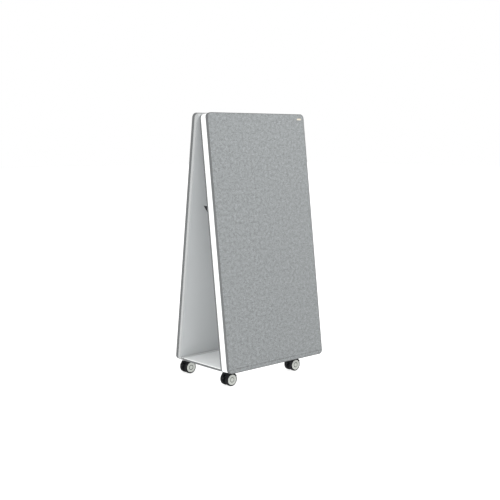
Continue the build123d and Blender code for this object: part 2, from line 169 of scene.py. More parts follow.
class ShaderGraph:
    """A material's node tree with a Principled shader at its end."""

    def __init__(self, name: str, constants: dict[str, Any] | None = None) -> None:
        """Start a material.

        Args:
            name: Name of the material.
            constants: Values of the shader's sockets that are the same all over.
        """
        self.material = bpy.data.materials.new(name)
        self.material.use_nodes = True
        self.tree = self.material.node_tree
        self.tree.nodes.clear()
        self.shader = self.add("ShaderNodeBsdfPrincipled", inputs=constants)
        output = self.add("ShaderNodeOutputMaterial")
        self.tree.links.new(self.shader.outputs["BSDF"], output.inputs["Surface"])

    def add(
        self,
        kind: str,
        settings: dict[str, Any] | None = None,
        inputs: dict[str | int, Any] | None = None,
    ) -> bpy.types.Node:
        """Add a node.

        Args:
            kind: Blender's name of the node type.
            settings: The node's own properties; "stops" holds a ramp's (place, colour) pairs.
            inputs: Values or signals of its sockets, by name or number.

        Returns:
            The new node.
        """
        node = self.tree.nodes.new(kind)
        for name, value in (settings or {}).items():
            if name == "stops":
                self._set_stops(node.color_ramp, value)
            else:
                setattr(node, name, value)
        for name, value in (inputs or {}).items():
            self.feed(node.inputs[name], value)
        return node

    @staticmethod
    def _set_stops(ramp: bpy.types.ColorRamp, stops: Sequence[tuple[float, Colour]]) -> None:
        """Give a ramp its stops.

        Args:
            ramp: The ramp to change, which starts with two stops.
            stops: Place and colour of each stop, from low to high.
        """
        while len(ramp.elements) < len(stops):
            ramp.elements.new(0.5)
        for element, (place, colour) in zip(ramp.elements, stops):
            element.position = place
            element.color = (*colour, 1.0)

    def feed(self, socket: bpy.types.NodeSocket, value: Any) -> None:
        """Link a signal to a socket, or set its value.

        Args:
            socket: The input.
            value: A signal, or the input's own value.
        """
        if isinstance(value, Signal):
            self.tree.links.new(value.socket, socket)
        else:
            socket.default_value = value

    def read(self, node: bpy.types.Node, output: str | int) -> Signal:
        """Wrap one output of a node."""
        return Signal(self, node.outputs[output])

    def math(self, operation: str, *values: Signal | float) -> Signal:
        """Add a Math node.

        Args:
            operation: Blender's name of the operation.
            values: Its one or two inputs.

        Returns:
            The result.
        """
        node = self.add("ShaderNodeMath", {"operation": operation}, dict(enumerate(values)))
        return self.read(node, 0)

    def place(self) -> Signal:
        """Object coordinates, which are the row frame in metres."""
        return self.read(self.add("ShaderNodeTexCoord"), "Object")

    def cloth_place(self) -> tuple[Signal, Signal]:
        """Distances along the cloth's width and length, in metres, from its UV map.

        Returns:
            The distance across and the distance up.
        """
        cloth = self.add("ShaderNodeUVMap", {"uv_map": CLOTH_MAP})
        split = self.add("ShaderNodeSeparateXYZ", inputs={"Vector": self.read(cloth, "UV")})
        return self.read(split, "X"), self.read(split, "Y")

    def vector(self, x: Signal | float, y: Signal | float, z: Signal | float = 0.0) -> Signal:
        """Join three values into a vector."""
        node = self.add("ShaderNodeCombineXYZ", inputs={"X": x, "Y": y, "Z": z})
        return self.read(node, "Vector")

    def noise(self, place: Signal, size: float, detail: float = 2.0, rough: float = 0.5) -> Signal:
        """Smooth noise from 0 to 1.

        Args:
            place: Where the noise is read.
            size: Width of its blotches, in the units of the place.
            detail: Number of finer layers.
            rough: Strength of the finer layers.

        Returns:
            The noise.
        """
        node = self.add(
            "ShaderNodeTexNoise",
            inputs={"Vector": place, "Scale": 1.0 / size, "Detail": detail, "Roughness": rough},
        )
        return self.read(node, 0)

    def ramp(self, value: Signal, stops: Sequence[tuple[float, Colour]]) -> Signal:
        """Turn a value into a colour."""
        node = self.add("ShaderNodeValToRGB", {"stops": stops}, {0: value})
        return self.read(node, "Color")

    def blend(self, share: Signal, first: Signal | float, second: Signal | float) -> Signal:
        """Mix two values."""
        inputs = {0: share, 2: first, 3: second}
        return self.read(self.add("ShaderNodeMix", {"data_type": "FLOAT"}, inputs), 0)

    def colour(self, value: Signal) -> None:
        """Set the base colour."""
        self.feed(self.shader.inputs["Base Color"], value)

    def roughness(self, value: Signal) -> None:
        """Set the roughness."""
        self.feed(self.shader.inputs["Roughness"], value)

    def relief(self, height: Signal, depth: float, strength: float = 1.0) -> None:
        """Give the surface fine relief.

        Args:
            height: Height of the relief from 0 to 1.
            depth: Real depth of the relief in metres.
            strength: Share of the relief that shows.
        """
        inputs = {"Height": height, "Distance": depth, "Strength": strength}
        bump = self.add("ShaderNodeBump", inputs=inputs)
        self.feed(self.shader.inputs["Normal"], self.read(bump, "Normal"))


def shade(colour: Colour, factor: float) -> Colour:
    """Lighten or darken a colour."""
    return tuple(min(1.0, channel * factor) for channel in colour)


@dataclass(frozen=True)
class Finish:
    """Name and main colour, which every finish starts from."""

    name: str
    colour: Colour

    def tint(self, graph: ShaderGraph, value: Signal, *stops: tuple[float, float]) -> None:
        """Colour the surface in darker and lighter tones of the main colour.

        Args:
            graph: The material's graph.
            value: What the tone follows.
            stops: Value and brightness of each tone, from low to high.
        """
        tones = [(place, shade(self.colour, factor)) for place, factor in stops]
        graph.colour(graph.ramp(value, tones))


@dataclass(frozen=True)
class HeatherFelt(Finish):
    """Heathered wool cloth: a plain weave whose yarns are spun from light and dark fibres."""

    hem: float
    yarn: float = 1.3 * MILLIMETRE
    slub: float = 11.0 * MILLIMETRE
    fleck: float = 8.0 * MILLIMETRE
    blotch: float = 21.0 * MILLIMETRE
    yarn_share: float = 0.25
    fleck_share: float = 0.5
    blotch_share: float = 0.25
    weave_share: float = 0.08
    weave_mean: float = 0.375
    spread: float = 0.17
    contrast: float = 0.6
    relief: float = 0.45 * MILLIMETRE
    crease_width: float = 4.0 * MILLIMETRE
    crease_shade: float = 0.12

    def make(self) -> bpy.types.Material:
        """Build the material.

        Returns:
            The finished material.
        """
        graph = ShaderGraph(self.name, {"Sheen Weight": 0.1, "Sheen Roughness": 0.6})
        across, up = graph.cloth_place()
        weave = self.weave(graph, across, up)
        over = weave * 0.5 + 0.5
        warp = graph.noise(graph.vector(across / self.yarn, up / self.slub), 1.0, 3.0)
        weft = graph.noise(graph.vector(across / self.slub, up / self.yarn, 7.0), 1.0, 3.0)
        yarns = graph.blend(over, weft, warp)
        cloth = graph.vector(across, up)
        flecks = graph.noise(cloth, self.fleck, 3.0, 0.65)
        mottle = graph.noise(cloth, self.blotch, 2.0, 0.5)
        tone = yarns * self.yarn_share + flecks * self.fleck_share + mottle * self.blotch_share
        tone = tone + (abs(weave) - self.weave_mean) * self.weave_share
        # painted shade: the tone is darkened along the hem crease
        tone = tone - self.crease(graph, up) * self.crease_shade
        dark = (0.5 - self.spread, 1.0 - self.contrast)
        light = (0.5 + self.spread, 1.0 + self.contrast)
        self.tint(graph, tone, dark, (0.5, 1.0), light)
        graph.roughness(0.88 + 0.1 * yarns)
        fibres = graph.noise(cloth, self.yarn / 3.0, 3.0, 0.7)
        graph.relief(abs(weave) * 0.6 + fibres * 0.4, self.relief, 0.8)
        return graph.material

    def weave(self, graph: ShaderGraph, across: Signal, up: Signal) -> Signal:
        """Over-and-under of a plain weave, with slightly wandering yarns.

        Args:
            graph: The cloth's graph.
            across: Distance along the cloth's width.
            up: Distance along its length.

        Returns:
            1 where the warp is on top, -1 where the weft is.
        """
        wander = graph.noise(graph.vector(across, up), self.blotch, 2.0) * self.yarn
        turn = math.pi / self.yarn
        return ((across + wander) * turn).sine() * ((up + wander) * turn).sine()

    def crease(self, graph: ShaderGraph, up: Signal) -> Signal:
        """Painted shade along the line where the hem is pressed in, from 0 to 1."""
        away = abs(up - self.hem) / self.crease_width
        return graph.math("MAXIMUM", 1.0 - away, 0.0)


@dataclass(frozen=True)
class PowderCoat(Finish):
    """Painted metal with the slight orange peel of a powder coat."""

    gloss: float = 0.42
    peel: float = 1.6 * MILLIMETRE
    relief: float = 0.03 * MILLIMETRE
    cloud: float = 180.0 * MILLIMETRE
    drift: float = 0.02
    shine: float = 0.4

    def make(self) -> bpy.types.Material:
        """Build the material.

        Returns:
            The finished material.
        """
        graph = ShaderGraph(self.name, {"Specular IOR Level": self.shine})
        place = graph.place()
        cloud = graph.noise(place, self.cloud, 2.0)
        self.tint(graph, cloud, (0.3, 1.0 - self.drift), (0.7, 1.0 + self.drift))
        peel = graph.noise(place, self.peel, 2.0, 0.4)
        graph.roughness(self.gloss + 0.08 * cloud + 0.05 * peel)
        graph.relief(peel, self.relief, 0.6)
        return graph.material


@dataclass(frozen=True)
class WritingSurface(Finish):
    """Smooth white laminate that is written on: glossy, with faint wipe marks."""

    gloss: float = 0.3
    coat: float = 0.1
    wipe: float = 220.0 * MILLIMETRE
    ripple: float = 25.0 * MILLIMETRE
    relief: float = 0.04 * MILLIMETRE

    def make(self) -> bpy.types.Material:
        """Build the material.

        Returns:
            The finished material.
        """
        graph = ShaderGraph(self.name, {"Coat Weight": self.coat, "Coat Roughness": 0.2})
        place = graph.place()
        wipes = graph.noise(place, self.wipe, 5.0, 0.6)
        self.tint(graph, wipes, (0.3, 0.985), (0.7, 1.01))
        smear = graph.noise(place, self.wipe / 9.0, 3.0, 0.6)
        graph.roughness(self.gloss + 0.08 * wipes + 0.06 * smear)
        graph.relief(graph.noise(place, self.ripple, 1.0), self.relief, 0.3)
        return graph.material


@dataclass(frozen=True)
class MouldedPlastic(Finish):
    """Plastic with a fine spark-eroded grain, a little dust and slight colour drift."""

    gloss: float = 0.5
    grain: float = 0.6 * MILLIMETRE
    relief: float = 0.05 * MILLIMETRE
    cloud: float = 22.0 * MILLIMETRE
    dust: float = 0.08
    dust_grey: float = 0.35
    shine: float = 0.4

    def make(self) -> bpy.types.Material:
        """Build the material.

        Returns:
            The finished material.
        """
        graph = ShaderGraph(self.name, {"Specular IOR Level": self.shine})
        place = graph.place()
        cloud = graph.noise(place, self.cloud, 4.0, 0.6)
        dusty = tuple(channel + self.dust * (self.dust_grey - channel) for channel in self.colour)
        graph.colour(graph.ramp(cloud, [(0.35, self.colour), (0.75, dusty)]))
        grain = graph.noise(place, self.grain, 2.0, 0.6)
        graph.roughness(self.gloss + 0.1 * grain + 0.12 * cloud)
        graph.relief(grain, self.relief, 0.6)
        return graph.material


@dataclass(frozen=True)
class TreadRubber(Finish):
    """Soft wheel tread: dark, matt and scuffed lighter in patches."""

    scuff: float = 7.0 * MILLIMETRE
    grain: float = 0.9 * MILLIMETRE
    relief: float = 0.08 * MILLIMETRE

    def make(self) -> bpy.types.Material:
        """Build the material.

        Returns:
            The finished material.
        """
        graph = ShaderGraph(self.name, {"Specular IOR Level": 0.15})
        place = graph.place()
        scuff = graph.noise(place, self.scuff, 5.0, 0.7)
        self.tint(graph, scuff, (0.45, 1.0), (0.6, 1.6), (0.75, 2.4))
        graph.roughness(0.62 + 0.25 * scuff)
        graph.relief(graph.noise(place, self.grain, 3.0, 0.6), self.relief, 0.6)
        return graph.material


@dataclass(frozen=True)
class ZincSteel(Finish):
    """Zinc-plated steel with a fine drawn grain along X."""

    stretch: float = 0.05
    grain: float = 0.5 * MILLIMETRE
    spangle: float = 5.0 * MILLIMETRE
    relief: float = 0.02 * MILLIMETRE

    def make(self) -> bpy.types.Material:
        """Build the material.

        Returns:
            The finished material.
        """
        graph = ShaderGraph(self.name, {"Metallic": 1.0})
        place = graph.place()
        inputs = {"Vector": place, "Scale": (self.stretch, 1.0, 1.0)}
        drawn = graph.add("ShaderNodeMapping", inputs=inputs)
        grain = graph.noise(graph.read(drawn, "Vector"), self.grain, 3.0)
        spangle = graph.noise(place, self.spangle, 2.0)
        self.tint(graph, spangle, (0.3, 0.88), (0.7, 1.08))
        graph.roughness(0.28 + 0.2 * grain + 0.1 * spangle)
        graph.relief(grain, self.relief, 0.5)
        return graph.material


@dataclass(frozen=True)
class PressedFibre(Finish):
    """Board core of pressed fibres, seen only where a board is opened."""

    fibre: float = 1.5 * MILLIMETRE
    relief: float = 0.3 * MILLIMETRE

    def make(self) -> bpy.types.Material:
        """Build the material.

        Returns:
            The finished material.
        """
        graph = ShaderGraph(self.name, {"Specular IOR Level": 0.2})
        place = graph.place()
        fibre = graph.noise(place, self.fibre, 5.0, 0.75)
        self.tint(graph, fibre, (0.3, 0.8), (0.7, 1.15))
        graph.roughness(0.85 + 0.1 * fibre)
        graph.relief(fibre, self.relief, 0.8)
        return graph.material


HEM_HEIGHT = 27.0 * MILLIMETRE
RIM_GREY = (0.105, 0.11, 0.112)
FINISHES = {
    Slot.FABRIC: HeatherFelt("heather_felt", (0.1935, 0.205, 0.208), HEM_HEIGHT),
    Slot.EDGE_TRIM: MouldedPlastic("edge_trim_grey", RIM_GREY, gloss=0.5, dust=0.05),
    Slot.CORE: PressedFibre("fibre_core", (0.5, 0.49, 0.46)),
    Slot.BACK_SHEET: PowderCoat("back_sheet_coat", (0.66, 0.67, 0.67)),
    Slot.HOOKS: PowderCoat("hook_coat", (0.2, 0.205, 0.21)),
    Slot.TAG: MouldedPlastic("tag_sand", (0.5, 0.46, 0.38), gloss=0.55, dust=0.02),
    Slot.WHITE_FRAME: PowderCoat("frame_white", (0.82, 0.83, 0.83)),
    Slot.LIGHT_FRAME: PowderCoat("frame_light_grey", (0.36, 0.37, 0.37)),
    Slot.GREY_BAND: MouldedPlastic("edge_band_grey", RIM_GREY, gloss=0.5, dust=0.05),
    # The writing surfaces are white; their colour is set to mid grey as painted shade between the
    # leaves.
    Slot.WHITE_PANEL: WritingSurface("writing_surface", (0.465, 0.48, 0.485)),
    Slot.SHELF: WritingSurface("shelf_laminate", (0.86, 0.875, 0.875), gloss=0.55, coat=0.0),
    Slot.STEEL: ZincSteel("zinc_steel", (0.6, 0.6, 0.59)),
    Slot.BEAM: PowderCoat("beam_light_grey", (0.6, 0.61, 0.61)),
    Slot.BLACK_METAL: PowderCoat("bracket_black", (0.006, 0.006, 0.007), gloss=0.5, shine=0.12),
    Slot.CASTER_BLACK: MouldedPlastic(
        "caster_black", (0.004, 0.005, 0.006), gloss=0.36, dust=0.02, shine=0.16
    ),
    Slot.CASTER_GREY: MouldedPlastic("caster_grey", (0.42, 0.434, 0.405), gloss=0.4, dust=0.1),
    Slot.TYRE: TreadRubber("tread_dark", (0.006, 0.0065, 0.0075)),
}


# ---- Frame access and delivery of finished meshes ----


@dataclass(frozen=True)
class Job:
    """What a finished mesh is called, rides on, is finished in and stands for."""

    name: str
    body: str
    slot: Slot
    stands_for: tuple[str, ...] = ()


@dataclass
class Workshop:
    """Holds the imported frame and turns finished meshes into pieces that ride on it."""

    frame: dict[str, Any]
    materials: dict[Slot, bpy.types.Material] = field(default_factory=dict)
    delivered: int = 0
    smooth_angle: float = math.radians(35.0)
    flat_angle: float = math.radians(0.5)

    def material(self, slot: Slot) -> bpy.types.Material:
        """Material of a slot, made at its first use.

        Args:
            slot: The material slot.

        Returns:
            Its material.
        """
        if slot not in self.materials:
            self.materials[slot] = FINISHES[slot].make()
        return self.materials[slot]

    def points(self, node: str) -> list[Vector]:
        """Corners of a CAD node's mesh, in the row frame."""
        return [vertex.co.copy() for vertex in self.frame["nodes"][node].data.vertices]

    def copy_of(self, node: str) -> BMesh:
        """Merged copy of a CAD node's mesh, with its flat faces joined up.

        Args:
            node: Name of the CAD node.

        Returns:
            The copy.
        """
        bm = bmesh.new()
        bm.from_mesh(self.frame["nodes"][node].data)
        bmesh.ops.remove_doubles(bm, verts=bm.verts, dist=LEVEL / 2)
        bmesh.ops.dissolve_limit(
            bm, angle_limit=self.flat_angle, verts=bm.verts, edges=bm.edges, delimit=set()
        )
        return bm

    def solids(self, node: str) -> list[tuple[Vector, Vector]]:
        """Box of each separate solid of a CAD node.

        Args:
            node: Name of the CAD node.

        Returns:
            Lowest and highest corner of each, ordered by y and then x.
        """
        bm = self.copy_of(node)
        waiting = set(bm.verts)
        boxes = []
        while waiting:
            island = {waiting.pop()}
            border = list(island)
            while border:
                vertex = border.pop()
                near = {edge.other_vert(vertex) for edge in vertex.link_edges} - island
                island |= near
                border += near
            waiting -= island
            boxes.append(box_of(vertex.co for vertex in island))
        bm.free()
        return sorted(boxes, key=lambda box: (round(box[0].y, 4), round(box[0].x, 4)))

    def body_of(self, node: str) -> str:
        """Name of the body that a CAD node belongs to."""
        bodies = self.frame["record"]["behaviour"]["bodies"]
        return next(name for name, nodes in bodies.items() if node in nodes)

    def slot_of(self, node: str) -> Slot:
        """Material slot of a CAD node."""
        subparts = self.frame["record"]["subparts"]
        return Slot(next(part["material_slot"] for part in subparts if part["node"] == node))

    def deliver(self, bm: BMesh, job: Job) -> bpy.types.Object:
        """Turn a mesh into a piece of the model.

        Args:
            bm: The finished mesh in the row frame, which is used up.
            job: Its name, body, slot and the CAD nodes that it stands for.

        Returns:
            The new object.
        """
        mesh = bpy.data.meshes.new(job.name)
        bm.to_mesh(mesh)
        bm.free()
        mesh.shade_smooth()
        mesh.set_sharp_from_angle(angle=self.smooth_angle)
        mesh.materials.append(self.material(job.slot))
        piece = bpy.data.objects.new(job.name, mesh)
        bpy.context.scene.collection.objects.link(piece)
        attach(piece, job.body)
        if job.stands_for:
            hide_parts(*job.stands_for)
        self.delivered += 1
        LOG.info("%s on %s: %d faces", job.name, job.body, len(mesh.polygons))
        return piece

    def soften(self, node: str, edge: float, segments: int = 2) -> bpy.types.Object:
        """Replace a hard CAD node with a copy whose sharp edges are rounded over.

        Args:
            node: Name of the CAD node.
            edge: Width of the rounding in metres.
            segments: Number of steps across the rounding.

        Returns:
            The new object.
        """
        bm = self.copy_of(node)
        round_edges(bm, edge, segments)
        job = Job(f"{node}_shell", self.body_of(node), self.slot_of(node), (node,))
        return self.deliver(bm, job)

    def dress_rest(self) -> None:
        """Give every CAD node that still shows its procedural material."""
        for name, node in self.frame["nodes"].items():
            if not node.hide_render:
                node.data.materials.clear()
                node.data.materials.append(self.material(self.slot_of(name)))
                LOG.info("%s keeps its CAD mesh", name)


def box_of(points: Iterable[Vector]) -> tuple[Vector, Vector]:
    """Lowest and highest corner of some points."""
    columns = list(zip(*points))
    return Vector(map(min, columns)), Vector(map(max, columns))


def bevel(
    bm: BMesh, edges: Sequence[bmesh.types.BMEdge], width: float, segments: int, clamp: bool = False
) -> None:
    """Round some edges over.

    Args:
        bm: The mesh.
        edges: The edges.
        width: Width of the rounding in metres.
        segments: Number of steps across it.
        clamp: Whether the rounding stops short where it would cross another one.
    """
    bmesh.ops.bevel(
        bm,
        geom=edges,
        offset=width,
        segments=segments,
        profile=0.5,
        affect="EDGES",
        material=-1,
        clamp_overlap=clamp,
    )


def round_edges(bm: BMesh, width: float, segments: int, sharper_than: float = 40.0) -> None:
    """Round the sharp edges of a closed mesh.

    Args:
        bm: The mesh.
        width: Width of the rounding in metres.
        segments: Number of steps across it.
        sharper_than: Smallest angle between two faces, in degrees, that is rounded.
    """
    limit = math.radians(sharper_than)
    sharp = [edge for edge in bm.edges if edge.is_manifold and edge.calc_face_angle() > limit]
    bevel(bm, sharp, width, segments, clamp=True)


def rounded_plate(low: Vector, high: Vector, radius: float, segments: int = 10) -> BMesh:
    """Flat-laid plate with round corners.

    Args:
        low: Lowest corner.
        high: Highest corner.
        radius: Radius of its four upright corners.
        segments: Number of steps in each corner.

    Returns:
        The closed mesh.
    """
    bm = bmesh.new()
    size = high - low
    bmesh.ops.create_cube(bm, size=1.0)
    bmesh.ops.scale(bm, vec=size, verts=bm.verts)
    bmesh.ops.translate(bm, vec=(low + high) / 2, verts=bm.verts)
    corners = [edge for edge in bm.edges if edge.verts[0].co.xy == edge.verts[1].co.xy]
    bevel(bm, corners, radius, segments)
    return bm


def spin_profile(profile: Outline, centre: Vector, outward: int, steps: int = 56) -> BMesh:
    """Turned solid about a line along Y.

    Args:
        profile: (radius, offset outwards) points; a closed outline, or a line from axis to axis.
        centre: Point on the axis that the offsets count from.
        outward: Sign of Y that the offsets follow.
        steps: Number of steps round the axis.

    Returns:
        The closed mesh.
    """
    bm = bmesh.new()
    corners = [bm.verts.new((radius, outward * offset, 0.0)) for radius, offset in profile]
    for first, second in zip(corners, corners[1:]):
        bm.edges.new((first, second))
    if profile[0][0] > 0.0:
        bm.edges.new((corners[-1], corners[0]))
    bmesh.ops.spin(
        bm,
        geom=bm.verts[:] + bm.edges[:],
        cent=(0.0, 0.0, 0.0),
        axis=(0.0, 1.0, 0.0),
        angle=2.0 * math.pi,
        steps=steps,
        use_merge=True,
    )
    bmesh.ops.remove_doubles(bm, verts=bm.verts, dist=LEVEL)
    bmesh.ops.recalc_face_normals(bm, faces=bm.faces)
    bmesh.ops.translate(bm, vec=centre, verts=bm.verts)
    return bm


def arc(
    centre: tuple[float, float], radius: float, start: float, end: float, steps: int = 4
) -> Outline:
    """Points along a circular arc.

    Args:
        centre: Its centre.
        radius: Its radius.
        start: Angle of its first point in degrees.
        end: Angle of its last point in degrees.
        steps: Number of steps.

    Returns:
        The points, ends included.
    """
    angles = [math.radians(start + (end - start) * step / steps) for step in range(steps + 1)]
    return [(centre[0] + radius * math.cos(a), centre[1] + radius * math.sin(a)) for a in angles]


def join(target: BMesh, part: BMesh) -> None:
    """Add a mesh to another one and free it.

    Args:
        target: The mesh that grows.
        part: The mesh that is added.
    """
    carrier = bpy.data.meshes.new("carrier")
    part.to_mesh(carrier)
    part.free()
    target.from_mesh(carrier)
    bpy.data.meshes.remove(carrier)


# ---- Leaves and boards ----


@dataclass(frozen=True)
class LeafSpace:
    """Flat-laid space of one leaf: x across, y up the slope, z outwards, 0 at the outer face."""

    side: Side
    length: float
    to_row: Matrix

    @classmethod
    def of(cls, workshop: Workshop, side: Side) -> LeafSpace:
        """Work the leaf's space out from its board's lift joint and edge trim.

        Args:
            workshop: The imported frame.
            side: Which leaf.

        Returns:
            The leaf's space.
        """
        lift = f"{side.value}_board_lift"
        joints = workshop.frame["record"]["behaviour"]["joints"]
        up = Vector(next(joint["axis"] for joint in joints if joint["name"] == lift)).normalized()
        across = Vector((-float(side.outward), 0.0, 0.0))
        out = across.cross(up)
        low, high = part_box(f"{side.value}_board_edge_trim")
        sine, cosine = abs(up.y), up.z
        rise, reach = high.z - low.z, high.y - low.y
        length = (rise * cosine - reach * sine) / (cosine**2 - sine**2)
        foot_y = side.outward * max(abs(low.y), abs(high.y))
        foot = Vector((0.0, foot_y, high.z - length * cosine))
        turn = Matrix((across, up, out)).transposed().to_4x4()
        return cls(side, length, Matrix.Translation(foot) @ turn)

    def box(self, workshop: Workshop, node: str) -> tuple[Vector, Vector]:
        """Lowest and highest corner of a CAD node, laid flat."""
        to_leaf = self.to_row.inverted()
        return box_of(to_leaf @ point for point in workshop.points(node))

    def stand_up(self, bm: BMesh) -> BMesh:
        """Stand a flat-laid mesh up on the leaf."""
        bmesh.ops.transform(bm, matrix=self.to_row, verts=bm.verts)
        return bm


@dataclass
class LiftOffBoard:
    """Board that hangs on its leaf: edge trim, stretched fabric cover, core, back sheet, hooks."""

    workshop: Workshop
    side: Side
    corner_radius: float = 32.0 * MILLIMETRE
    trim_edge: float = 0.8 * MILLIMETRE
    roll: float = 1.6 * MILLIMETRE
    hem_width: float = 3.2 * MILLIMETRE
    hem_depth: float = 1.1 * MILLIMETRE
    stitch_pitch: float = 6.0 * MILLIMETRE
    stitch_length: float = 4.0 * MILLIMETRE
    stitch_thick: float = 0.7 * MILLIMETRE
    stitch_rise: float = 5.12 * MILLIMETRE
    tuck: float = 9.0 * MILLIMETRE
    hook_edge: float = 0.4 * MILLIMETRE

    def __post_init__(self) -> None:
        """Take the leaf's space from the frame."""
        self.space = LeafSpace.of(self.workshop, self.side)
        self.body = f"{self.side.value}_board"

    def build(self) -> None:
        """Build every piece of the board that shows."""
        self.workshop.soften(f"{self.body}_edge_trim", self.trim_edge)
        stitches = self.build_stitches()
        self.build_fabric()
        self.workshop.soften(f"{self.body}_hooks", self.hook_edge, 1)

    def build_fabric(self) -> None:
        """Stretched cover with a rolled edge and a pressed hem line.
        """
        node = f"{self.body}_fabric_cover"
        low, high = self.space.box(self.workshop, node)
        inset = low.x - self.space.box(self.workshop, f"{self.body}_edge_trim")[0].x
        bm = rounded_plate(low, high, self.corner_radius - inset)
        for offset in (-self.hem_width / 2, 0.0, self.hem_width / 2):
            cut_across(bm, HEM_HEIGHT + offset)
        bevel(bm, [edge for edge in bm.edges if is_rim(edge, high.z)], self.roll, 4)
        for vertex in bm.verts:
            if abs(vertex.co.y - HEM_HEIGHT) < LEVEL and vertex.co.z > low.z + self.hem_depth:
                vertex.co.z -= self.hem_depth
        map_cloth(bm)
        job = Job(f"{self.body}_cloth", self.body, Slot.FABRIC, (node,))
        piece = self.workshop.deliver(self.space.stand_up(bm), job)

    def build_stitches(self) -> bpy.types.Object:
        """Row of stitches just above the hem line.

        Returns:
            The stitches as one piece.
        """
        low, high = self.space.box(self.workshop, f"{self.body}_fabric_cover")
        margin = self.corner_radius / 2
        count = round((high.x - low.x - 2 * margin) / self.stitch_pitch)
        height = HEM_HEIGHT + self.stitch_rise
        bm = bmesh.new()
        for index in range(count):
            made = bmesh.ops.create_icosphere(bm, subdivisions=1, radius=0.5)["verts"]
            size = (self.stitch_length, self.stitch_thick, self.stitch_thick)
            bmesh.ops.scale(bm, vec=size, verts=made)
            x = low.x + margin + (index + 0.5) * self.stitch_pitch
            bmesh.ops.translate(bm, vec=(x, height, high.z), verts=made)
        map_cloth(bm)
        job = Job(f"{self.body}_hem_stitches", self.body, Slot.FABRIC)
        return self.workshop.deliver(self.space.stand_up(bm), job)


def is_rim(edge: bmesh.types.BMEdge, height: float, sharper_than: float = 60.0) -> bool:
    """Whether an edge runs round the outline of the face at a height."""
    level = all(abs(vertex.co.z - height) < LEVEL for vertex in edge.verts)
    return level and edge.is_manifold and edge.calc_face_angle() > math.radians(sharper_than)


def cut_across(bm: BMesh, height: float) -> None:
    """Cut every face along a line of constant y.

    Args:
        bm: The flat-laid mesh.
        height: The line's y.
    """
    bmesh.ops.bisect_plane(
        bm,
        geom=bm.verts[:] + bm.edges[:] + bm.faces[:],
        plane_co=(0.0, height, 0.0),
        plane_no=(0.0, 1.0, 0.0),
    )


def map_cloth(bm: BMesh) -> None:
    """Give flat-laid cloth its UV map: x and y in metres.

    Args:
        bm: The flat-laid mesh.
    """
    layer = bm.loops.layers.uv.new(CLOTH_MAP)
    for face in bm.faces:
        for loop in face.loops:
            loop[layer].uv = loop.vert.co.xy


@dataclass
class BoardTag:
    """Small plain tab near the front board's top right corner, with a raised border."""

    workshop: Workshop
    corner: float = 2.5 * MILLIMETRE
    edge: float = 0.15 * MILLIMETRE
    border: float = 1.4 * MILLIMETRE
    sunk: float = 0.22 * MILLIMETRE

    def build(self) -> None:
        """Build the tab."""
        node = "front_board_tag"
        space = LeafSpace.of(self.workshop, Side.FRONT)
        low, high = space.box(self.workshop, node)
        bm = rounded_plate(low, high, self.corner, 5)
        top = max(bm.faces, key=lambda face: face.calc_center_median().z)
        bmesh.ops.inset_region(bm, faces=[top], thickness=self.border)
        bmesh.ops.inset_region(bm, faces=[top], thickness=self.sunk, depth=-self.sunk)
        round_edges(bm, self.edge, 2)
        job = Job(f"{node}_tab", self.workshop.body_of(node), Slot.TAG, (node,))
        self.workshop.deliver(space.stand_up(bm), job)


@dataclass
class LeafFrames:
    """Frames and inner panels of both leaves, with softened edges."""

    workshop: Workshop
    profile_edge: float = 1.2 * MILLIMETRE
    panel_edge: float = 0.5 * MILLIMETRE

    def build(self) -> None:
        """Build every frame piece."""
        for side in Side:
            for piece in ("left_stile", "right_stile", "top_rail", "bottom_rail", "corner_blocks"):
                self.workshop.soften(f"{side.value}_frame_{piece}", self.profile_edge, 3)
            self.workshop.soften(f"{side.value}_inner_panel", self.panel_edge)
            self.workshop.soften(f"{side.value}_inner_edge_band", self.panel_edge)


# Edge rounding of the shelf, its bands, the beam, the ties, the brackets and the plates.
BASE_EDGES = {
    "base_shelf": 0.6 * MILLIMETRE,
    "shelf_edge_bands": 0.3 * MILLIMETRE,
    "rear_beam": 1.0 * MILLIMETRE,
    "top_ties": 1.5 * MILLIMETRE,
    "side_brackets": 0.8 * MILLIMETRE,
    "caster_plates": 0.6 * MILLIMETRE,
}


# ---- Casters ----


